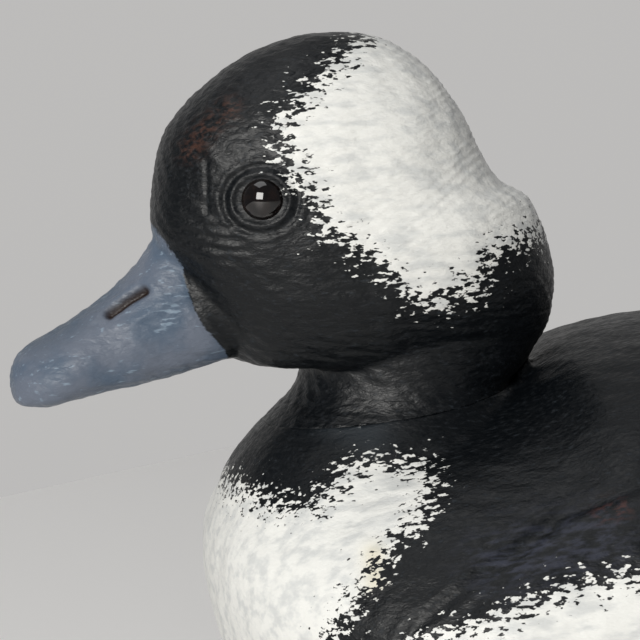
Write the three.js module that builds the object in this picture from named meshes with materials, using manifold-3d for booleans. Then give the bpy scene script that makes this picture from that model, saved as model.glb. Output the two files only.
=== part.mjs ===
// A carved and painted wooden duck: a small diving-duck decoy with a puffed head, a short neck and a flat underside.
//
// Millimetres, +Z up. The bill points along -Y, the tail along +Y, and +X is the bird's own left side.
// The origin is on the flat underside, below the middle of the duck's length and width.
//
// The duck is two pieces of wood and two glass eyes:
//   body       breast, back, folded wings, tail and the flat seat under the neck
//   head       neck, cheeks, crown, nape and bill, carved in one and glued on the seat
//   left_eye, right_eye   solid glass domes in sockets drilled in the head
//
// Every outline is a smooth curve through a few stations, as on a carver's paper pattern.

import * as THREE from 'three';
import { mergeVertices } from 'three/addons/utils/BufferGeometryUtils.js';
import { LoftGeometry } from 'three/addons/geometries/LoftGeometry.js';
import Module from 'manifold-3d';

// ---------------------------------------------------------------- driving sizes
const BILL_TIP_Y = - 142.5;      // foremost point
const TAIL_TIP_Y = 142.5;        // rearmost point
const BREAST_Y = - 105.3;        // foremost point of the breast
const CROWN_Z = 156.5;           // highest point
const JAW_Z = 93.6;              // underside of the jaw
const HALF_WIDTH = 68;           // half the body's greatest width

const SEAT_FRONT = [ - 94, 82.0 ];   // neck seat, front end (y, z)
const SEAT_BACK = [ - 46.2, 89.4 ];  // neck seat, back end, in the crease under the nape
const NAPE_SPLIT_DEG = 50;           // slope of the cut that goes up between nape and back
const GLUE_GAP = 0.3;

const EYE_D = 8.0;                            // glass eye
const EYE_AT = [ 18.7, - 97.0, 127.0 ];       // middle of the eye's rim, left side
const EYE_YAW_DEG = 24;                       // how far the eye looks forward of square
const EYE_PITCH_DEG = 5;                      // and upward
const EYE_DOME = 3.1;                         // height of the dome over the rim
const EYE_BACK = 2.2;                         // thickness behind the rim
const SOCKET_GAP = 0.3;

const POCKET_RISE = 1.4;         // the side pockets stand this proud of the wing
const WING_RISE = 2.2;           // the wing tips stand this proud of the rump

// ---------------------------------------------------------------- smooth curve through stations
// Monotone cubic: it never overshoots its stations.
function curve( stations ) {

	const x = stations.map( s => s[ 0 ] ), v = stations.map( s => s[ 1 ] ), n = x.length;
	const d = [], m = new Array( n ).fill( 0 );
	for ( let i = 0; i < n - 1; i ++ ) d.push( ( v[ i + 1 ] - v[ i ] ) / ( x[ i + 1 ] - x[ i ] ) );
	m[ 0 ] = d[ 0 ];
	m[ n - 1 ] = d[ n - 2 ];
	for ( let i = 1; i < n - 1; i ++ ) {

		if ( d[ i - 1 ] * d[ i ] <= 0 ) continue;
		const h0 = x[ i ] - x[ i - 1 ], h1 = x[ i + 1 ] - x[ i ];
		const w0 = 2 * h1 + h0, w1 = h1 + 2 * h0;
		m[ i ] = ( w0 + w1 ) / ( w0 / d[ i - 1 ] + w1 / d[ i ] );

	}

	return t => {

		if ( t <= x[ 0 ] ) return v[ 0 ];
		if ( t >= x[ n - 1 ] ) return v[ n - 1 ];
		let i = 0;
		while ( t > x[ i + 1 ] ) i ++;
		const h = x[ i + 1 ] - x[ i ], s = ( t - x[ i ] ) / h, s2 = s * s, s3 = s2 * s;
		return v[ i ] * ( 2 * s3 - 3 * s2 + 1 ) + h * m[ i ] * ( s3 - 2 * s2 + s )
			+ v[ i + 1 ] * ( - 2 * s3 + 3 * s2 ) + h * m[ i + 1 ] * ( s3 - s2 );

	};

}

const smooth = ( a, b, t ) => { const s = Math.min( 1, Math.max( 0, ( t - a ) / ( b - a ) ) ); return s * s * ( 3 - 2 * s ); };

// ---------------------------------------------------------------- patterns of the body, by y
const bodyTop = curve( [ [ BREAST_Y, 58 ], [ - 104.5, 62.5 ], [ - 101, 68.5 ], [ - 92, 74.5 ], [ - 75, 81 ], [ - 56, 86 ], [ - 46, 89.3 ], [ - 35, 95.7 ], [ - 20, 99.7 ], [ 2, 101.5 ], [ 30, 99.5 ], [ 60, 93 ], [ 92, 82.5 ], [ 116, 73.5 ], [ 130, 70.6 ], [ TAIL_TIP_Y, 70 ] ] );
const bodyBottom = curve( [ [ BREAST_Y, 55 ], [ - 104.2, 46 ], [ - 102.5, 39.5 ], [ - 98.5, 26 ], [ - 92, 11 ], [ - 84, - 1 ], [ - 70, - 9 ], [ - 40, - 12 ], [ 30, - 12 ], [ 66, - 8 ], [ 86, 2 ], [ 102, 21 ], [ 114, 43 ], [ 122, 54.5 ], [ 131, 60 ], [ TAIL_TIP_Y, 63.4 ] ] );
const bodyHalf = curve( [ [ BREAST_Y, 4 ], [ - 104.2, 15.5 ], [ - 101, 27 ], [ - 95, 38 ], [ - 86, 48 ], [ - 74, 56 ], [ - 56, 63 ], [ - 30, 67.3 ], [ - 6, HALF_WIDTH ], [ 26, 66.6 ], [ 56, 60.5 ], [ 82, 50 ], [ 104, 38.5 ], [ 118, 31 ], [ 128, 28 ], [ 137, 25 ], [ 141, 20.5 ], [ TAIL_TIP_Y, 13.5 ] ] );
const bodyWide = curve( [ [ BREAST_Y, 56.5 ], [ - 92, 49 ], [ - 60, 44.5 ], [ - 10, 42 ], [ 40, 45 ], [ 80, 54 ], [ 105, 62 ], [ 125, 66 ], [ TAIL_TIP_Y, 66.8 ] ] ); // height of the widest line
const bodyUpper = curve( [ [ BREAST_Y, 2.0 ], [ - 60, 2.0 ], [ - 20, 2.12 ], [ 40, 2.12 ], [ 100, 2.0 ], [ TAIL_TIP_Y, 2.2 ] ] ); // roundness over it
const bodyLower = curve( [ [ BREAST_Y, 2.0 ], [ - 80, 2.25 ], [ - 30, 2.6 ], [ 60, 2.5 ], [ 110, 2.1 ], [ TAIL_TIP_Y, 2.2 ] ] ); // and under it

// ---------------------------------------------------------------- patterns of the neck, by z
const neckFront = curve( [ [ 56, - 103.0 ], [ 64, - 103.6 ], [ 70, - 102.3 ], [ 75, - 99.7 ], [ 80, - 95.8 ], [ 84, - 91.9 ], [ 87, - 88.9 ], [ 90, - 87.2 ], [ 93, - 86.7 ], [ 99, - 86.6 ] ] );
const neckBack = curve( [ [ 56, - 30 ], [ 75, - 38 ], [ 85, - 45 ], [ 89.2, - 46.1 ], [ 92, - 43.9 ], [ 95, - 41.6 ], [ 99, - 40.2 ] ] );
const neckHalf = curve( [ [ 56, 54 ], [ 64, 46.5 ], [ 70, 38.5 ], [ 75, 31.5 ], [ 80, 25.6 ], [ 84, 22 ], [ 88, 19.8 ], [ 92, 19 ], [ 99, 19.4 ] ] );
const neckMid = curve( [ [ 56, - 66 ], [ 90, - 65 ], [ 99, - 64 ] ] );

// ---------------------------------------------------------------- patterns of the head, by z
const headFront = curve( [ [ JAW_Z, - 94 ], [ 94.6, - 99.8 ], [ 96.5, - 101.6 ], [ 101, - 104 ], [ 110, - 109.7 ], [ 117.5, - 114.9 ], [ 122, - 115.6 ], [ 130, - 114.8 ], [ 137, - 113 ], [ 144.3, - 107.5 ], [ 150.4, - 100 ], [ 154.6, - 91.8 ], [ 156.1, - 86 ], [ CROWN_Z, - 80.6 ] ] );
const headBack = curve( [ [ JAW_Z, - 43.2 ], [ 97, - 40.3 ], [ 102, - 38.2 ], [ 109, - 37.6 ], [ 116, - 38.9 ], [ 122, - 41.1 ], [ 125.2, - 43.2 ], [ 127.8, - 48.2 ], [ 132.8, - 51.9 ], [ 141.4, - 56.1 ], [ 149, - 62 ], [ 154.2, - 68.9 ], [ 156, - 74.4 ], [ CROWN_Z, - 79.4 ] ] );
const headHalf = curve( [ [ JAW_Z, 11 ], [ 94.6, 15.2 ], [ 97.5, 18.4 ], [ 103, 21.8 ], [ 110, 23.8 ], [ 118, 24 ], [ 126, 22.8 ], [ 134, 21.6 ], [ 141, 19.4 ], [ 148, 15.2 ], [ 152.5, 11 ], [ 155.4, 6.3 ], [ 156.3, 2.8 ], [ CROWN_Z, 0.5 ] ] );
const headMid = curve( [ [ JAW_Z, - 72 ], [ 105, - 69 ], [ 118, - 69 ], [ 130, - 75 ], [ 145, - 79 ], [ CROWN_Z, - 80 ] ] ); // y of the greatest width
const HEAD_FRONT_ROUND = 2.3, HEAD_BACK_ROUND = 2.1;

// ---------------------------------------------------------------- patterns of the bill, by y
const billTop = curve( [ [ BILL_TIP_Y, 92.6 ], [ - 141.9, 95 ], [ - 140.3, 97.3 ], [ - 137, 99.5 ], [ - 132, 102.4 ], [ - 127, 105.6 ], [ - 122, 109.7 ], [ - 118, 113.9 ], [ - 114, 119 ], [ - 98, 124 ] ] );
const billBottom = curve( [ [ BILL_TIP_Y, 90.2 ], [ - 141.9, 88.2 ], [ - 140, 86.9 ], [ - 137, 86.8 ], [ - 130, 88.3 ], [ - 120, 90.2 ], [ - 110, 92.4 ], [ - 104, 94.3 ], [ - 98, 95.6 ] ] );
const billHalf = curve( [ [ BILL_TIP_Y, 1.6 ], [ - 141.9, 4.3 ], [ - 140, 7 ], [ - 136.5, 9.2 ], [ - 131, 10.2 ], [ - 124, 9.9 ], [ - 116, 9.9 ], [ - 108, 10.5 ], [ - 98, 11.2 ] ] );
const BILL_WIDE = 0.36;          // the bill is widest at this share of its height
const BILL_UPPER_ROUND = 1.75, BILL_LOWER_ROUND = 2.7;

// ---------------------------------------------------------------- carved edges
const pocketEdge = curve( [ [ - 84, 30 ], [ - 77, 46 ], [ - 66, 59.5 ], [ - 54, 68 ], [ - 46, 74 ], [ - 30, 80.3 ], [ - 4, 84.5 ], [ 26, 83 ], [ 54, 76.5 ], [ 78, 66 ], [ 96, 52 ] ] ); // z of the side pocket's upper edge, by y
const wingEdge = curve( [ [ 28, 62 ], [ 52, 48 ], [ 74, 33 ], [ 92, 19.5 ], [ 104, 10.5 ], [ 109, 4 ] ] ); // |x| of the folded wing's edge over the rump, by y

// How far the carved surface stands out from the plain form at a point.
function relief( x, y, z ) {

	const below = pocketEdge( y ) - z;
	const pocket = POCKET_RISE * smooth( - 1.2, 4, below ) * ( 1 - smooth( 8, 40, below ) )
		* smooth( - 84, - 72, y ) * ( 1 - smooth( 78, 98, y ) );
	const inside = wingEdge( y ) - Math.abs( x );
	const wing = WING_RISE * smooth( - 1.5, 2.5, inside ) * smooth( 22, 58, y ) * ( 1 - smooth( 107, 110.5, y ) ) * ( z > 60 ? 1 : 0 );
	return pocket + wing;

}

// ---------------------------------------------------------------- from rings to a solid
const wasm = await Module();
wasm.setup();

function toSolid( geometry ) {

	const g = geometry;
	g.deleteAttribute( 'normal' );
	g.deleteAttribute( 'uv' );
	const m = mergeVertices( g, 1e-4 );
	const solid = new wasm.Manifold( new wasm.Mesh( { numProp: 3, vertProperties: new Float32Array( m.attributes.position.array ), triVerts: new Uint32Array( m.index.array ) } ) );
	return solid;

}

function toGeometry( solid ) {

	const mesh = solid.getMesh();
	const g = new THREE.BufferGeometry();
	g.setAttribute( 'position', new THREE.BufferAttribute( new Float32Array( mesh.vertProperties ), 3 ) );
	g.setIndex( new THREE.BufferAttribute( new Uint32Array( mesh.triVerts ), 1 ) );
	g.computeVertexNormals();
	return g;

}

// A point of a ring whose two halves have their own reach and roundness.
function superPoint( angle, half, reachUp, reachDown, roundUp, roundDown ) {

	const c = Math.cos( angle ), s = Math.sin( angle );
	const n = s >= 0 ? roundUp : roundDown;
	const a = Math.sign( c ) * Math.pow( Math.abs( c ), 2 / n ) * half;
	const b = Math.sign( s ) * Math.pow( Math.abs( s ), 2 / n ) * ( s >= 0 ? reachUp : reachDown );
	return [ a, b ];

}

// Stations from a to b, closer together towards the ends.
function spaced( a, b, count, crowd ) {

	const out = [];
	for ( let i = 0; i <= count; i ++ ) {

		const s = i / count, e = 0.5 - 0.5 * Math.cos( Math.PI * s );
		out.push( a + ( b - a ) * ( ( 1 - crowd ) * s + crowd * e ) );

	}

	return out;

}

function loft( rings ) {

	return toSolid( new LoftGeometry( rings, { capStart: true, capEnd: true } ) );

}

// Body: upright rings from the breast to the tail.
function bodyRings( around = 44, along = 42 ) {

	return spaced( BREAST_Y, TAIL_TIP_Y, along, 0.62 ).map( y => {

		const ring = [];
		const wide = bodyWide( y ), up = bodyTop( y ) - wide, down = wide - bodyBottom( y );
		for ( let j = 0; j < around; j ++ ) {

			const t = - 2 * Math.PI * ( j + 0.5 ) / around;
			const [ x, h ] = superPoint( t, bodyHalf( y ), up, down, bodyUpper( y ), bodyLower( y ) );
			const out = relief( x, y, wide + h ), r = Math.hypot( x, h ) || 1;
			ring.push( new THREE.Vector3( x + out * x / r, y, wide + h + out * h / r ) );

		}

		return ring;

	} );

}

// Neck and head: level rings from below upwards.
function levelRings( z0, z1, count, crowd, around, front, back, half, mid, roundFront, roundBack ) {

	return spaced( z0, z1, count, crowd ).map( z => {

		const ring = [];
		const m = mid( z );
		for ( let j = 0; j < around; j ++ ) {

			const t = 2 * Math.PI * ( j + 0.5 ) / around;
			const [ x, d ] = superPoint( t, half( z ), back( z ) - m, m - front( z ), roundBack, roundFront );
			ring.push( new THREE.Vector3( x, m + d, z ) );

		}

		return ring;

	} );

}

// Bill: upright rings from the tip into the face.
function billRings( around = 24, along = 15 ) {

	return spaced( BILL_TIP_Y, - 98, along, 0.5 ).map( y => {

		const ring = [];
		const low = billBottom( y ), high = billTop( y ), wide = low + BILL_WIDE * ( high - low );
		for ( let j = 0; j < around; j ++ ) {

			const t = - 2 * Math.PI * ( j + 0.5 ) / around;
			const [ x, h ] = superPoint( t, billHalf( y ), high - wide, wide - low, BILL_UPPER_ROUND, BILL_LOWER_ROUND );
			ring.push( new THREE.Vector3( x, y, wide + h ) );

		}

		return ring;

	} );

}

// ---------------------------------------------------------------- the wedge that parts head from body
// A prism across the duck: over the seat, and in front of the cut behind the nape.
function headWedge( gap ) {

	const seat = new THREE.Vector2( SEAT_BACK[ 0 ] - SEAT_FRONT[ 0 ], SEAT_BACK[ 1 ] - SEAT_FRONT[ 1 ] ).normalize();
	const split = new THREE.Vector2( Math.cos( NAPE_SPLIT_DEG * Math.PI / 180 ), Math.sin( NAPE_SPLIT_DEG * Math.PI / 180 ) );
	const far = 200;
	const shift = gap; // the body's cut lies lower and further back by the glue gap
	const corner = new THREE.Vector2( SEAT_BACK[ 0 ] + shift * 1.2, SEAT_BACK[ 1 ] - shift );
	const front = corner.clone().addScaledVector( seat, - far );
	const back = corner.clone().addScaledVector( split, far );
	const outline = new THREE.Shape( [ front, corner, back, new THREE.Vector2( - 250, 260 ) ] );
	const g = new THREE.ExtrudeGeometry( outline, { depth: 200, bevelEnabled: false } );
	g.translate( 0, 0, - 100 );
	g.applyMatrix4( new THREE.Matrix4().makeBasis( new THREE.Vector3( 0, 1, 0 ), new THREE.Vector3( 0, 0, 1 ), new THREE.Vector3( 1, 0, 0 ) ) );
	return toSolid( g );

}

// ---------------------------------------------------------------- eyes
function eyeFrame( side ) {

	const yaw = EYE_YAW_DEG * Math.PI / 180, pitch = EYE_PITCH_DEG * Math.PI / 180;
	const out = new THREE.Vector3( side * Math.cos( yaw ) * Math.cos( pitch ), - Math.sin( yaw ) * Math.cos( pitch ), Math.sin( pitch ) );
	const q = new THREE.Quaternion().setFromUnitVectors( new THREE.Vector3( 0, 1, 0 ), out );
	return { q, at: new THREE.Vector3( side * EYE_AT[ 0 ], EYE_AT[ 1 ], EYE_AT[ 2 ] ) };

}

function eyeGeometry( segments = 28 ) {

	// A round-faced glass dome with a flat back, turned about its own axis.
	const r = EYE_D / 2, profile = [ new THREE.Vector2( 0, - EYE_BACK ), new THREE.Vector2( r - 0.5, - EYE_BACK ), new THREE.Vector2( r, - EYE_BACK + 0.5 ), new THREE.Vector2( r, 0 ) ];
	const steps = 7;
	for ( let i = 1; i < steps; i ++ ) {

		const a = Math.PI / 2 * i / steps;
		profile.push( new THREE.Vector2( r * Math.cos( a ), EYE_DOME * Math.sin( a ) ) );

	}

	profile.push( new THREE.Vector2( 0, EYE_DOME ) );
	return new THREE.LatheGeometry( profile, segments );

}

function socketSolid( side ) {

	const r = EYE_D / 2 + SOCKET_GAP;
	const profile = [ new THREE.Vector2( 0, - EYE_BACK - SOCKET_GAP ), new THREE.Vector2( r, - EYE_BACK - SOCKET_GAP ), new THREE.Vector2( r, 0.8 ), new THREE.Vector2( r + 4, 10 ), new THREE.Vector2( 0, 10 ) ];
	const g = new THREE.LatheGeometry( profile, 28 );
	const { q, at } = eyeFrame( side );
	g.applyQuaternion( q );
	g.translate( at.x, at.y, at.z );
	return toSolid( g );

}

// ---------------------------------------------------------------- build
const bodyLoft = loft( bodyRings() );
const neckLoft = loft( levelRings( 56, 99, 15, 0.1, 36, neckFront, neckBack, neckHalf, neckMid, 2.0, 2.0 ) );
const headLoft = loft( levelRings( JAW_Z, CROWN_Z, 25, 0.55, 40, headFront, headBack, headHalf, headMid, HEAD_FRONT_ROUND, HEAD_BACK_ROUND ) );
const billLoft = loft( billRings() );

const below = new THREE.BoxGeometry( 400, 500, 100 );
below.translate( 0, 0, - 50 );

const bodySolid = bodyLoft.add( neckLoft ).subtract( headWedge( GLUE_GAP ) ).subtract( toSolid( below ) );
const headSolid = neckLoft.add( headLoft ).intersect( headWedge( 0 ) ).add( billLoft ).subtract( socketSolid( 1 ) ).subtract( socketSolid( - 1 ) );

const blackWood = new THREE.MeshStandardMaterial( { color: 0x1d2023, roughness: 0.42, metalness: 0 } );
const mantleWood = new THREE.MeshStandardMaterial( { color: 0x232629, roughness: 0.45, metalness: 0 } );
const glass = new THREE.MeshStandardMaterial( { color: 0x0c0807, roughness: 0.04, metalness: 0 } );

const duck = new THREE.Group();

function place( name, geometry, material, parent = duck ) {

	const mesh = new THREE.Mesh( geometry, material );
	mesh.name = name;
	parent.add( mesh );
	return mesh;

}

place( 'body', toGeometry( bodySolid ), mantleWood );
place( 'head', toGeometry( headSolid ), blackWood );

for ( const [ name, side ] of [ [ 'left_eye', 1 ], [ 'right_eye', - 1 ] ] ) {

	const { q, at } = eyeFrame( side );
	const eye = place( name, eyeGeometry(), glass );
	eye.position.copy( at );
	eye.quaternion.copy( q );

}

export default duck;
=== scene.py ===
import bpy, bmesh, math
import numpy as np
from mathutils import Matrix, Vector


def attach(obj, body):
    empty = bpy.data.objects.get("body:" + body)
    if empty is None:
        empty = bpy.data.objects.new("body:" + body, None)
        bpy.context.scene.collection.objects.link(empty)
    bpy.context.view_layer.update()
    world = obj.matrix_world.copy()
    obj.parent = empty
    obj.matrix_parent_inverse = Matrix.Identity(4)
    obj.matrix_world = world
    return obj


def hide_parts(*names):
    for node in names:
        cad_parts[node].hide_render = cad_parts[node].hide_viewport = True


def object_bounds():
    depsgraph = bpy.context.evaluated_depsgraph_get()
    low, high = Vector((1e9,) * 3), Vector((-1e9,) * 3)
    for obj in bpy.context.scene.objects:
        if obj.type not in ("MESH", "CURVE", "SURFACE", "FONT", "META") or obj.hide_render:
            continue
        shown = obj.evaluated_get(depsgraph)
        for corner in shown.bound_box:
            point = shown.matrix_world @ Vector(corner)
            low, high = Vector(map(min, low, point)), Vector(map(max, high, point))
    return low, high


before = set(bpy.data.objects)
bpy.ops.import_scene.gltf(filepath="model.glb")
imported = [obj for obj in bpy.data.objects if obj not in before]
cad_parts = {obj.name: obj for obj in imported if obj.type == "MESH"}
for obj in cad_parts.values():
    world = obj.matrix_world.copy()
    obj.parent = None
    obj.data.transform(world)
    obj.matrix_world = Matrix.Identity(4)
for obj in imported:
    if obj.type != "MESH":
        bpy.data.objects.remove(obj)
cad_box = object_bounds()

rng = np.random.default_rng(7)

# ------------------------------------------------------------------ patterns (millimetres)
def curve(st):
    x = np.array([s[0] for s in st], float); v = np.array([s[1] for s in st], float)
    n = len(x); h = np.diff(x); d = np.diff(v) / h; m = np.zeros(n); m[0], m[-1] = d[0], d[-1]
    for i in range(1, n - 1):
        if d[i - 1] * d[i] > 0:
            w0 = 2 * h[i] + h[i - 1]; w1 = h[i] + 2 * h[i - 1]
            m[i] = (w0 + w1) / (w0 / d[i - 1] + w1 / d[i])
    def f(t):
        t = np.clip(np.asarray(t, float), x[0], x[-1])
        i = np.clip(np.searchsorted(x, t) - 1, 0, n - 2)
        s = (t - x[i]) / h[i]; s2, s3 = s * s, s * s * s
        return v[i] * (2 * s3 - 3 * s2 + 1) + h[i] * m[i] * (s3 - 2 * s2 + s) + v[i + 1] * (3 * s2 - 2 * s3) + h[i] * m[i + 1] * (s3 - s2)
    return f

def smooth(a, b, t):
    s = np.clip((t - a) / (b - a), 0, 1)
    return s * s * (3 - 2 * s)

BT, TT, BR, CZ, JZ = -142.5, 142.5, -105.3, 156.5, 93.6
bodyTop = curve([[BR, 58], [-104.5, 62.5], [-101, 68.5], [-92, 74.5], [-75, 81], [-56, 86], [-46, 89.3], [-35, 95.7], [-20, 99.7], [2, 101.5], [30, 99.5], [60, 93], [92, 82.5], [116, 73.5], [130, 70.6], [TT, 70]])
bodyBottom = curve([[BR, 55], [-104.2, 46], [-102.5, 39.5], [-98.5, 26], [-92, 11], [-84, -1], [-70, -9], [-40, -12], [30, -12], [66, -8], [86, 2], [102, 21], [114, 43], [122, 54.5], [131, 60], [TT, 63.4]])
bodyHalf = curve([[BR, 4], [-104.2, 15.5], [-101, 27], [-95, 38], [-86, 48], [-74, 56], [-56, 63], [-30, 67.3], [-6, 68], [26, 66.6], [56, 60.5], [82, 50], [104, 38.5], [118, 31], [128, 28], [137, 25], [141, 20.5], [TT, 13.5]])
bodyWide = curve([[BR, 56.5], [-92, 49], [-60, 44.5], [-10, 42], [40, 45], [80, 54], [105, 62], [125, 66], [TT, 66.8]])
bodyUpper = curve([[BR, 2.0], [-60, 2.0], [-20, 2.12], [40, 2.12], [100, 2.0], [TT, 2.2]])
bodyLower = curve([[BR, 2.0], [-80, 2.25], [-30, 2.6], [60, 2.5], [110, 2.1], [TT, 2.2]])
neckFront = curve([[56, -103.0], [64, -103.6], [70, -102.3], [75, -99.7], [80, -95.8], [84, -91.9], [87, -88.9], [90, -87.2], [93, -86.7], [99, -86.6]])
neckBack = curve([[56, -30], [75, -38], [85, -45], [89.2, -46.1], [92, -43.9], [95, -41.6], [99, -40.2]])
neckHalf = curve([[56, 54], [64, 46.5], [70, 38.5], [75, 31.5], [80, 25.6], [84, 22], [88, 19.8], [92, 19], [99, 19.4]])
neckMid = curve([[56, -66], [90, -65], [99, -64]])
headFront = curve([[JZ, -94], [94.6, -99.8], [96.5, -101.6], [101, -104], [110, -109.7], [117.5, -114.9], [122, -115.6], [130, -114.8], [137, -113], [144.3, -107.5], [150.4, -100], [154.6, -91.8], [156.1, -86], [CZ, -80.6]])
headBack = curve([[JZ, -43.2], [97, -40.3], [102, -38.2], [109, -37.6], [116, -38.9], [122, -41.1], [125.2, -43.2], [127.8, -48.2], [132.8, -51.9], [141.4, -56.1], [149, -62], [154.2, -68.9], [156, -74.4], [CZ, -79.4]])
headHalf = curve([[JZ, 11], [94.6, 15.2], [97.5, 18.4], [103, 21.8], [110, 23.8], [118, 24], [126, 22.8], [134, 21.6], [141, 19.4], [148, 15.2], [152.5, 11], [155.4, 6.3], [156.3, 2.8], [CZ, 0.5]])
headMid = curve([[JZ, -72], [105, -69], [118, -69], [130, -75], [145, -79], [CZ, -80]])
billTop = curve([[BT, 92.6], [-141.9, 95], [-140.3, 97.3], [-137, 99.5], [-132, 102.4], [-127, 105.6], [-122, 109.7], [-118, 113.9], [-114, 119], [-98, 124]])
billBottom = curve([[BT, 90.2], [-141.9, 88.2], [-140, 86.9], [-137, 86.8], [-130, 88.3], [-120, 90.2], [-110, 92.4], [-104, 94.3], [-98, 95.6]])
billHalf = curve([[BT, 1.6], [-141.9, 4.3], [-140, 7], [-136.5, 9.2], [-131, 10.2], [-124, 9.9], [-116, 9.9], [-108, 10.5], [-98, 11.2]])
pocketEdge = curve([[-84, 30], [-77, 46], [-66, 59.5], [-54, 68], [-46, 74], [-30, 80.3], [-4, 84.5], [26, 83], [54, 76.5], [78, 66], [96, 52]])
wingEdge = curve([[28, 62], [52, 48], [74, 33], [92, 19.5], [104, 10.5], [109, 4]])

def relief(x, y, z):
    below = pocketEdge(y) - z
    pocket = 1.4 * smooth(-1.2, 4, below) * (1 - smooth(8, 40, below)) * smooth(-84, -72, y) * (1 - smooth(78, 98, y))
    wing = 2.2 * smooth(-1.5, 2.5, wingEdge(y) - np.abs(x)) * smooth(22, 58, y) * (1 - smooth(107, 110.5, y)) * (z > 60)
    return pocket + wing

def super_ring(t, half, up, down, nu, nd):
    c, s = np.cos(t), np.sin(t)
    n = np.where(s >= 0, nu, nd)
    return np.sign(c) * np.abs(c) ** (2 / n) * half, np.sign(s) * np.abs(s) ** (2 / n) * np.where(s >= 0, up, down)

def spaced(a, b, n, crowd):
    s = np.arange(n + 1) / n
    return a + (b - a) * ((1 - crowd) * s + crowd * (0.5 - 0.5 * np.cos(np.pi * s)))

def loft_arrays(rings):
    k, n = len(rings), len(rings[0])
    v = np.concatenate(rings)
    f = [(i * n + j, i * n + (j + 1) % n, (i + 1) * n + (j + 1) % n, (i + 1) * n + j) for i in range(k - 1) for j in range(n)]
    f.append(tuple(range(n - 1, -1, -1)))
    f.append(tuple(range((k - 1) * n, k * n)))
    return v, f

def body_rings():
    out, t = [], 2 * np.pi * (np.arange(200) + 0.5) / 200
    for y in spaced(BR, TT, 220, 0.6):
        w = bodyWide(y)
        x, h = super_ring(t, bodyHalf(y), bodyTop(y) - w, w - bodyBottom(y), bodyUpper(y), bodyLower(y))
        o, r = relief(x, y, w + h), np.maximum(np.hypot(x, h), 1e-3)
        out.append(np.stack([x + o * x / r, np.full_like(x, y), w + h + o * h / r], 1))
    return out

def level_rings(z0, z1, n, crowd, fr, bk, hf, md, rf, rb):
    out, t = [], 2 * np.pi * (np.arange(160) + 0.5) / 160
    for z in spaced(z0, z1, n, crowd):
        m = md(z)
        x, d = super_ring(t, hf(z), bk(z) - m, m - fr(z), rb, rf)
        out.append(np.stack([x, m + d, np.full_like(x, z)], 1))
    return out

def bill_rings():
    out, t = [], 2 * np.pi * (np.arange(96) + 0.5) / 96
    for y in spaced(BT, -98, 90, 0.5):
        lo, hi = billBottom(y), billTop(y); w = lo + 0.36 * (hi - lo)
        x, h = super_ring(t, billHalf(y), hi - w, w - lo, 1.75, 2.7)
        out.append(np.stack([x, np.full_like(x, y), w + h], 1))
    return out

# ------------------------------------------------------------------ meshes
def mesh_object(name, parts):
    vs, fs, k = [], [], 0
    for v, f in parts:
        vs.append(v); fs += [tuple(i + k for i in q) for q in f]; k += len(v)
    me = bpy.data.meshes.new(name)
    me.from_pydata((np.concatenate(vs) / 1000).tolist(), [], fs)
    bm = bmesh.new(); bm.from_mesh(me); bmesh.ops.triangulate(bm, faces=[f for f in bm.faces if len(f.verts) > 4])
    for isl in [bm.faces]:
        bmesh.ops.recalc_face_normals(bm, faces=isl)
    bm.to_mesh(me); bm.free()
    ob = bpy.data.objects.new(name, me)
    bpy.context.scene.collection.objects.link(ob)
    return ob

def bake(ob):
    dg = bpy.context.evaluated_depsgraph_get(); dg.update()
    me = bpy.data.meshes.new_from_object(ob.evaluated_get(dg))
    ob.modifiers.clear(); ob.data = me

def remesh(ob, voxel, rounds):
    m = ob.modifiers.new("v", "REMESH"); m.mode = "VOXEL"; m.voxel_size = voxel / 1000
    s = ob.modifiers.new("s", "SMOOTH"); s.factor = 0.5; s.iterations = rounds
    bake(ob)

def cut(ob, co, no, keep_positive):
    bm = bmesh.new(); bm.from_mesh(ob.data)
    r = bmesh.ops.bisect_plane(bm, geom=bm.verts[:] + bm.edges[:] + bm.faces[:], plane_co=Vector(co) / 1000, plane_no=no, clear_inner=keep_positive, clear_outer=not keep_positive, dist=1e-6)
    edges = [e for e in bm.edges if len(e.link_faces) == 1]
    bmesh.ops.holes_fill(bm, edges=edges, sides=0)
    bmesh.ops.recalc_face_normals(bm, faces=bm.faces)
    bm.to_mesh(ob.data); bm.free()

neck = loft_arrays(level_rings(56, 99, 90, 0.1, neckFront, neckBack, neckHalf, neckMid, 2.0, 2.0))
skull = loft_arrays(level_rings(JZ, CZ, 150, 0.55, headFront, headBack, headHalf, headMid, 2.3, 2.1))
body = mesh_object("duck_body", [loft_arrays(body_rings()), neck])
remesh(body, 1.15, 5)
head = mesh_object("duck_head", [neck, skull, loft_arrays(bill_rings())])
remesh(head, 0.5, 9)

seat_f, seat_b = np.array([-94, 82.0]), np.array([-46.2, 89.4])
sd = (seat_b - seat_f) / np.linalg.norm(seat_b - seat_f)
split = np.array([math.cos(math.radians(50)), math.sin(math.radians(50))])
cut(head, (0, seat_b[0], seat_b[1]), (0, -sd[1], sd[0]), True)
cut(head, (0, seat_b[0], seat_b[1]), (0, split[1], -split[0]), False)
cut(body, (0, 0, 0), (0, 0, 1), True)
# The wedge over the seat is taken out of the body.
corner = seat_b + np.array([0.07, -0.05])
fr, bk = corner - 200 * sd, corner + 200 * split
pts = [fr, corner, bk, np.array([-250, 260])]
wv = np.array([[sx, p[0], p[1]] for sx in (-100, 100) for p in pts], float)
wedge = mesh_object("wedge", [(wv, [(0, 1, 2, 3), (7, 6, 5, 4), (0, 4, 5, 1), (1, 5, 6, 2), (2, 6, 7, 3), (3, 7, 4, 0)])])
bo = body.modifiers.new("b", "BOOLEAN"); bo.operation = "DIFFERENCE"; bo.object = wedge; bo.solver = "EXACT"
bake(body)
bpy.data.objects.remove(wedge)

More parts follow.
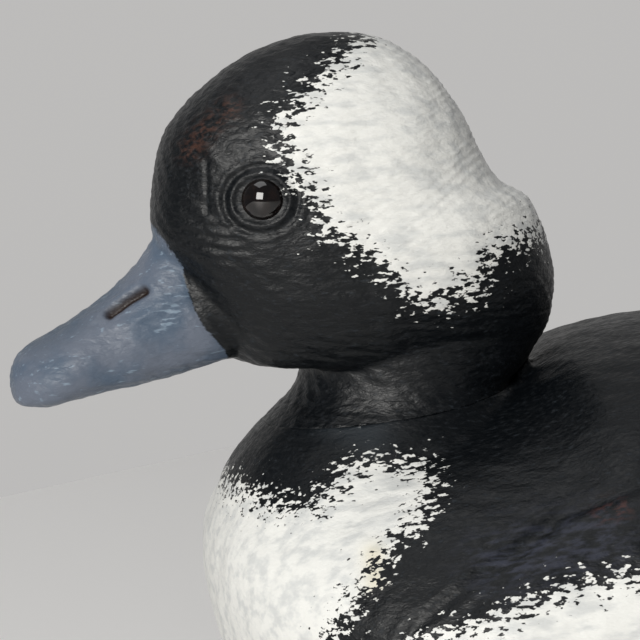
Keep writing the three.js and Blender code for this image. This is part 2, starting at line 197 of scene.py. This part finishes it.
# ------------------------------------------------------------------ camera: three-quarter side view
AZ, EL, DIST, FPX = math.radians(80), math.radians(9), 450.0, 2340.0
back = np.array([math.sin(AZ) * math.cos(EL), -math.cos(AZ) * math.cos(EL), math.sin(EL)])
target = np.array([0, -83.1, 101.5])
eye_pt = target + back * DIST
right = np.array([math.cos(AZ), math.sin(AZ), 0.0])
up = np.cross(back, right)

def view(p):
    d = p - eye_pt
    depth = -(d @ back)
    return np.stack([320 + FPX * (d @ right) / depth, 320 - FPX * (d @ up) / depth], 1)

def arrays(ob):
    me = ob.data; n = len(me.vertices)
    co = np.empty(n * 3); me.vertices.foreach_get("co", co)
    no = np.empty(n * 3); me.vertices.foreach_get("normal", no)
    return co.reshape(-1, 3) * 1000, no.reshape(-1, 3)

def side_view(co):
    m = co.copy(); m[:, 0] = np.abs(m[:, 0])
    return view(m)

def seg_dist(p, line):
    best = np.full(len(p), 1e9)
    for a, b in zip(line[:-1], line[1:]):
        a, b = np.array(a, float), np.array(b, float); ab = b - a
        t = np.clip(((p - a) @ ab) / (ab @ ab), 0, 1)
        best = np.minimum(best, np.hypot(*(p - a - t[:, None] * ab).T))
    return best

def region(p, poly):
    d = seg_dist(p, poly + poly[:1]); inside = np.zeros(len(p), bool)
    for (x0, y0), (x1, y1) in zip(poly, poly[1:] + poly[:1]):
        if y0 != y1:
            inside ^= ((y0 > p[:, 1]) != (y1 > p[:, 1])) & (p[:, 0] < (x1 - x0) * (p[:, 1] - y0) / (y1 - y0) + x0)
    return np.where(inside, d, -d)

def write(ob, co):
    lo, hi = np.array(cad_box[0]) * 1000, np.array(cad_box[1]) * 1000
    co = np.clip(co, lo, hi)
    ob.data.vertices.foreach_set("co", (co / 1000).ravel()); ob.data.update()

def attribute(ob, name, r, g, b):
    a = ob.data.color_attributes.new(name, "FLOAT_COLOR", "POINT")
    c = np.ones((len(r), 4)); c[:, 0], c[:, 1], c[:, 2] = r, g, b
    a.data.foreach_set("color", c.ravel())

# ------------------------------------------------------------------ carved relief and paint fields of the head
BILL = [(120, 190), (150, 222), (159, 233), (181, 266), (187, 286), (196, 313), (206, 329), (224, 349), (228, 356), (228, 430), (-60, 430), (-60, 190)]
CAP = [(359, 42), (338, 62), (316, 84), (298, 100), (284, 118), (281, 141), (290, 162), (298, 181), (313, 197), (320, 215), (328, 235), (345, 240), (379, 261), (412, 297), (426, 304), (453, 294), (475, 291), (482, 276), (495, 250), (519, 244), (545, 230), (560, 180), (500, 120), (470, 70), (430, 30), (380, 10)]
co, no = arrays(head)
p = side_view(co)
side = smooth(0.15, 0.5, np.abs(no[:, 0]))
eye_c = np.array([[261.0, 200.0]])
cap, bill = region(p, CAP), region(p, BILL)
out = np.zeros(len(co))
re = np.hypot((p[:, 0] - 261) / 25.0, (p[:, 1] - 200) / 22.5)
out += side * (0.55 * np.exp(-((re - 1.18) / 0.13) ** 2) - 0.35 * np.exp(-((re - 1.5) / 0.12) ** 2) + 0.18 * np.exp(-((re - 1.75) / 0.12) ** 2))
out -= side * 1.3 * np.exp(-(seg_dist(p, [(109, 314), (127, 301), (144, 291)]) / 4.2) ** 2)
out += side * 0.35 * np.exp(-(seg_dist(p, [(105, 330), (135, 322), (165, 304), (188, 296)]) / 5) ** 2)
out += side * 0.25 * np.exp(-(seg_dist(p, [(96, 318), (112, 302), (140, 282), (152, 284)]) / 4) ** 2)
out -= side * 0.25 * np.exp(-(seg_dist(p, [(150, 222), (159, 233), (181, 266), (187, 286), (196, 313), (206, 329), (224, 349)]) / 3) ** 2)
w = np.exp(-((p[:, 0] - 217) / 30) ** 2 - ((p[:, 1] - 243) / 22) ** 2)
out += side * 0.30 * w * np.sin((p[:, 1] + 0.0035 * (p[:, 0] - 205) ** 2 - 0.25 * p[:, 0]) * 2 * math.pi / 11)
out -= side * 0.25 * np.exp(-(seg_dist(p, [(206, 161), (207, 212)]) / 2.4) ** 2)
flow = (p[:, 1] + 0.55 * p[:, 0] + 7 * np.sin(p[:, 0] / 37) + 6 * np.sin(p[:, 1] / 23 + p[:, 0] / 60))
hair = np.sin(flow * 2 * math.pi / 9.0) * (0.6 + 0.4 * np.sin(p[:, 0] / 11 + p[:, 1] / 17))
out += 0.09 * hair * smooth(-25, 10, cap)
rough = sum(a * np.sin(co @ rng.normal(size=3) * f + rng.uniform(0, 6)) for f in (0.5, 0.9, 1.7, 2.9) for a in (0.10 / f ** 0.5,) * 3)
out += 0.35 * rough
write(head, co + out[:, None] * no)
copper = np.exp(-(seg_dist(p, [(190, 150), (208, 128), (230, 108)]) / 11) ** 2)
nostril = np.exp(-(seg_dist(p, [(109, 314), (127, 301), (144, 291)]) / 5.0) ** 4)
attribute(head, "zones", 0.5 + np.clip(cap, -80, 80) / 160, 0.5 + np.clip(bill, -20, 20) / 40, copper)
# third channel of marks: upward-facing surfaces, used as painted shade that darkens the top of the bill
attribute(head, "marks", nostril, smooth(150, 200, p[:, 0]) * smooth(240, 300, 540 - p[:, 1]), smooth(0.55, 0.95, no[:, 2]))

# ------------------------------------------------------------------ carved relief and paint fields of the body
BREAST = [(100, 480), (215, 485), (228, 482), (257, 497), (286, 506), (312, 503), (333, 489), (347, 470), (362, 464), (400, 464), (420, 464), (433, 482), (425, 508), (406, 531), (381, 560), (368, 587), (353, 598), (337, 633), (322, 700), (305, 800), (280, 1000), (60, 1000)]
FLANK = [(395, 700), (420, 640), (486, 622), (546, 596), (612, 580), (700, 566), (850, 575), (1000, 600), (1120, 650), (1180, 720), (1080, 1000), (330, 1000)]
co, no = arrays(body)
p = side_view(co)
GROOVE = [(900, 452), (760, 452), (637, 486), (558, 518), (518, 551), (455, 595), (415, 627), (380, 690)]
g = seg_dist(p, GROOVE)
out = -0.45 * np.exp(-(g / 5) ** 2) + 0.18 * np.exp(-((g - 12) / 5) ** 2)
out *= smooth(0.1, 0.5, np.abs(no[:, 0]))
rough = sum(a * np.sin(co @ rng.normal(size=3) * f + rng.uniform(0, 6)) for f in (0.25, 0.5, 1.1) for a in (0.12 / f ** 0.5,) * 3)
out += 0.3 * rough * (co[:, 2] > 1)
flat = co[:, 2] <= 0.05
new = co + out[:, None] * no
new[flat] = co[flat]
write(body, new)
br, fl = region(p, BREAST), region(p, FLANK)
# third channel of zones: region of a painted highlight, a bluish sheen on the dark flank below the groove
attribute(body, "zones", 0.5 + np.clip(br, -80, 80) / 160, 0.5 + np.clip(fl, -80, 80) / 160, np.exp(-(seg_dist(p, [(500, 560), (600, 540)]) / 35) ** 2))
# third channel of marks: painted highlight in the crease between head and breast
attribute(body, "marks", np.exp(-(seg_dist(p, [(374, 555), (376, 585)]) / 12) ** 2), np.exp(-(seg_dist(p, [(603, 512), (622, 508)]) / 10) ** 2), np.exp(-(seg_dist(p, [(370, 432), (330, 415)]) / 22) ** 2))

for ob in (head, body):
    for q in ob.data.polygons:
        q.use_smooth = True

# ------------------------------------------------------------------ eyes
def eye(name, node, s):
    yaw, pitch = math.radians(24), math.radians(5)
    ax = Vector((s * math.cos(yaw) * math.cos(pitch), -math.sin(yaw) * math.cos(pitch), math.sin(pitch)))
    prof = [(0.01, -2.2), (3.5, -2.2), (4.0, -1.7), (4.0, 0.0)] + [(4 * math.cos(a), 3.1 * math.sin(a)) for a in np.linspace(0.06, math.pi / 2 - 0.02, 22)]
    n = 72
    t = 2 * np.pi * np.arange(n) / n
    rings = [np.stack([r * np.cos(t), r * np.sin(t), np.full(n, h)], 1) for r, h in prof]
    v, f = loft_arrays(rings)
    ob = mesh_object(name, [(v, f)])
    q = Vector((0, 0, 1)).rotation_difference(ax)
    at = Vector((s * 18.7, -97.0, 127.0)) / 1000
    for vert in ob.data.vertices:
        vert.co = q @ vert.co + at
    for poly in ob.data.polygons:
        poly.use_smooth = True
    return ob

left_eye, right_eye = eye("glass_left", "left_eye", 1), eye("glass_right", "right_eye", -1)

# ------------------------------------------------------------------ materials
def material(name):
    m = bpy.data.materials.new(name); m.use_nodes = True
    nt = m.node_tree
    return m, nt, nt.nodes["Principled BSDF"]

class N:
    def __init__(self, nt):
        self.nt = nt
        tc = nt.nodes.new("ShaderNodeTexCoord")
        self.obj = tc.outputs["Object"]
    def link(self, a, b):
        self.nt.links.new(a, b)
    def attr(self, name):
        a = self.nt.nodes.new("ShaderNodeAttribute"); a.attribute_name = name
        s = self.nt.nodes.new("ShaderNodeSeparateColor"); self.link(a.outputs["Color"], s.inputs[0])
        return s.outputs[0], s.outputs[1], s.outputs[2]
    def noise(self, scale, stretch=(1, 1, 1), rot=(0, 0, 0), detail=3, rough=0.55):
        mp = self.nt.nodes.new("ShaderNodeMapping"); mp.inputs["Scale"].default_value = stretch; mp.inputs["Rotation"].default_value = rot
        self.link(self.obj, mp.inputs[0])
        n = self.nt.nodes.new("ShaderNodeTexNoise"); n.inputs["Scale"].default_value = scale; n.inputs["Detail"].default_value = detail; n.inputs["Roughness"].default_value = rough
        self.link(mp.outputs[0], n.inputs["Vector"])
        return n.outputs[0]
    def math(self, op, a, b=0.0, c=None):
        m = self.nt.nodes.new("ShaderNodeMath"); m.operation = op
        for i, v in enumerate((a, b) if c is None else (a, b, c)):
            if isinstance(v, (int, float)): m.inputs[i].default_value = v
            else: self.link(v, m.inputs[i])
        return m.outputs[0]
    def ramp(self, v, a, b, lo=0.0, hi=1.0):
        m = self.nt.nodes.new("ShaderNodeMapRange"); m.interpolation_type = "SMOOTHSTEP"
        for i, x in enumerate((a, b, lo, hi)): m.inputs[i + 1].default_value = x
        self.link(v, m.inputs[0]); return m.outputs[0]
    def mix(self, f, a, b):
        m = self.nt.nodes.new("ShaderNodeMix"); m.data_type = "RGBA"
        for s, v in ((0, f), (6, a), (7, b)):
            if isinstance(v, tuple): m.inputs[s].default_value = (*v, 1)
            elif isinstance(v, (int, float)): m.inputs[s].default_value = v
            else: self.link(v, m.inputs[s])
        return m.outputs[2]
    def bump(self, h, strength, dist, prev=None):
        b = self.nt.nodes.new("ShaderNodeBump"); b.inputs["Strength"].default_value = strength; b.inputs["Distance"].default_value = dist
        self.link(h, b.inputs["Height"])
        if prev is not None: self.link(prev, b.inputs["Normal"])
        return b.outputs[0]

BLACK, BLACK2 = (0.002, 0.003, 0.0042), (0.014, 0.018, 0.023)
WHITE, WHITE2 = (0.76, 0.76, 0.73), (0.60, 0.61, 0.60)

def painted(k, white_value):
    dab = k.noise(680, (1.3, 0.72, 1.6), (0.5, 0, 0), 2, 0.6)
    fine = k.noise(1500, (1, 0.35, 1), (0.3, 0, 0), 3, 0.6)
    v = k.math("ADD", white_value, k.math("MULTIPLY", k.math("SUBTRACT", dab, 0.5), 135))
    v = k.math("ADD", v, k.math("MULTIPLY", k.math("SUBTRACT", fine, 0.5), 30))
    w = k.ramp(v, -3, 5)
    dark = k.mix(k.ramp(fine, 0.55, 0.78), BLACK, BLACK2)
    light = k.mix(k.ramp(k.noise(420, (1, 0.3, 1), (0.3, 0, 0), 3), 0.42, 0.68), WHITE, WHITE2)
    return w, k.mix(w, dark, light), fine, dab

m_head, nt, bsdf = material("head_paint")
k = N(nt)
r, gch, bch = k.attr("zones")
nos, lowrear, top_painted_shade = k.attr("marks")
w, col, fine, dab = painted(k, k.math("MULTIPLY", k.math("SUBTRACT", r, 0.5), 160))
col = k.mix(k.math("MULTIPLY", bch, k.ramp(dab, 0.4, 0.65, 0.0, 0.5)), col, (0.10, 0.045, 0.03))
patch = k.noise(70, detail=4)
blue = k.mix(k.ramp(patch, 0.4, 0.6), (0.075, 0.105, 0.15), (0.12, 0.14, 0.18))
blue = k.mix(k.ramp(k.noise(1100, (1, 0.2, 1), (0.12, 0, 0), 2), 0.62, 0.72, 0.0, 0.5), blue, (0.28, 0.36, 0.44))
# painted shade: the upward-facing top of the bill is mixed darker
blue = k.mix(k.math("MULTIPLY", top_painted_shade, 0.6), blue, (0.05, 0.075, 0.105))
onbill = k.ramp(k.math("ADD", k.math("SUBTRACT", gch, 0.5), k.math("MULTIPLY", k.math("SUBTRACT", fine, 0.5), 0.15)), -0.02, 0.04)
col = k.mix(onbill, col, blue)
col = k.mix(nos, col, (0.018, 0.010, 0.008))
k.link(col, bsdf.inputs["Base Color"])
k.link(k.ramp(fine, 0.3, 0.7, 0.34, 0.52), bsdf.inputs["Roughness"])
bsdf.inputs["Specular IOR Level"].default_value = 0.3
b = k.bump(fine, 0.5, 0.0002); b = k.bump(dab, 0.35, 0.0006, b)
k.link(b, bsdf.inputs["Normal"])

m_body, nt, bsdf = material("body_paint")
k = N(nt)
r, gch, bch = k.attr("zones")
st, red, neck_painted_highlight = k.attr("marks")
mx = k.math("MAXIMUM", r, gch)
w, col, fine, dab = painted(k, k.math("MULTIPLY", k.math("SUBTRACT", mx, 0.5), 160))
grain = k.noise(900, (1, 0.06, 1), (0.25, 0, 0), 3)
# painted highlight: bluish sheen on the dark flank, broken up by the grain noise
col = k.mix(k.math("MULTIPLY", bch, k.ramp(grain, 0.4, 0.7, 0.0, 0.5)), col, (0.05, 0.055, 0.085))
col = k.mix(k.math("MULTIPLY", k.math("MULTIPLY", st, w), 0.45), col, (0.60, 0.52, 0.30))
col = k.mix(k.math("MULTIPLY", red, k.ramp(dab, 0.45, 0.65, 0.0, 0.6)), col, (0.07, 0.025, 0.02))
# painted highlight: lighter blue-grey on the black paint at the neck crease
col = k.mix(k.math("MULTIPLY", neck_painted_highlight, 0.25), col, (0.06, 0.075, 0.09))
k.link(col, bsdf.inputs["Base Color"])
k.link(k.ramp(fine, 0.3, 0.7, 0.34, 0.55), bsdf.inputs["Roughness"])
bsdf.inputs["Specular IOR Level"].default_value = 0.25
b = k.bump(grain, 0.35, 0.0002); b = k.bump(dab, 0.3, 0.0006, b)
k.link(b, bsdf.inputs["Normal"])

m_eye, nt, bsdf = material("eye_glass")
k = N(nt)
k.link(k.mix(k.ramp(k.noise(500), 0.4, 0.7), (0.003, 0.002, 0.002), (0.009, 0.005, 0.004)), bsdf.inputs["Base Color"])
k.link(k.ramp(k.noise(900), 0.4, 0.7, 0.03, 0.07), bsdf.inputs["Roughness"])
bsdf.inputs["Coat Weight"].default_value = 0.3
bsdf.inputs["Coat Roughness"].default_value = 0.02

for ob, mat, node, sl in ((head, m_head, "head", "head_paint"), (body, m_body, "body", "body_paint"), (left_eye, m_eye, "left_eye", "eye_glass"), (right_eye, m_eye, "right_eye", "eye_glass")):
    ob.data.materials.clear(); ob.data.materials.append(mat)
    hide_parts(node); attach(ob, "root")

# ------------------------------------------------------------------ floor, wall, light, camera
def plain(name, verts, colour, rough):
    me = bpy.data.meshes.new(name); me.from_pydata([tuple(v) for v in verts], [], [(0, 1, 2, 3)])
    ob = bpy.data.objects.new(name, me); bpy.context.scene.collection.objects.link(ob)
    m, nt2, bs = material(name); bs.inputs["Base Color"].default_value = (*colour, 1); bs.inputs["Roughness"].default_value = rough
    me.materials.append(m); return ob

def floor_hit(px, py):
    d = -back * FPX + right * (px - 320) - up * (py - 320)
    return (eye_pt + d * (-(eye_pt[2]) / d[2])) / 1000

a, b2 = floor_hit(-900, 698), floor_hit(1300, 209 + 3)
if b2[0] > 0 or np.linalg.norm(b2) > 20:
    b2 = floor_hit(700, 343)
e = b2 - a; e[2] = 0; e /= np.linalg.norm(e)
mid = floor_hit(320, 427)
toward = np.array([back[0], back[1], 0]); toward /= np.linalg.norm(toward)
plain("floor", [mid - e * 3, mid + e * 3, mid + e * 3 + toward * 4, mid - e * 3 + toward * 4], (0.86, 0.85, 0.84), 0.5)
wc = np.array([0, 0, 0]) - toward * 2.2
wr = np.array([right[0], right[1], 0])
plain("wall", [wc - wr * 6 - (0, 0, 2), wc + wr * 6 - (0, 0, 2), wc + wr * 6 + (0, 0, 4), wc - wr * 6 + (0, 0, 4)], (0.10, 0.10, 0.10), 0.8)
wb = bpy.data.materials["wall"].node_tree.nodes["Principled BSDF"]
wb.inputs["Emission Color"].default_value = (1.0, 0.985, 0.97, 1)
wb.inputs["Emission Strength"].default_value = 0.47

def area(name, at, size, power, colour=(1, 1, 1)):
    l = bpy.data.lights.new(name, "AREA"); l.shape = "RECTANGLE"; l.size, l.size_y = size; l.energy = power; l.color = colour
    o = bpy.data.objects.new(name, l); bpy.context.scene.collection.objects.link(o)
    o.location = at
    o.rotation_euler = (Vector((0, -0.08, 0.11)) - Vector(at)).to_track_quat("-Z", "Y").to_euler()
    return o

area("window", (1.15, -0.85, 0.60), (0.7, 0.7), 19, (1.0, 0.985, 0.95))
area("top", (0.1, -0.5, 1.6), (1.0, 1.0), 6)
world = bpy.data.worlds.new("studio"); bpy.context.scene.world = world; world.use_nodes = True
world.node_tree.nodes["Background"].inputs[0].default_value = (0.92, 0.95, 1.0, 1)
world.node_tree.nodes["Background"].inputs[1].default_value = 0.13

cam = bpy.data.cameras.new("cam"); co_ = bpy.data.objects.new("cam", cam); bpy.context.scene.collection.objects.link(co_)
co_.location = eye_pt / 1000
co_.rotation_euler = Vector(back).to_track_quat("Z", "Y").to_euler()
cam.sensor_width = 36; cam.lens = 36 * FPX / 640; cam.clip_start = 0.01; cam.clip_end = 50
cam.dof.use_dof = False
bpy.context.scene.camera = co_
bpy.context.scene.view_settings.view_transform = "Standard"
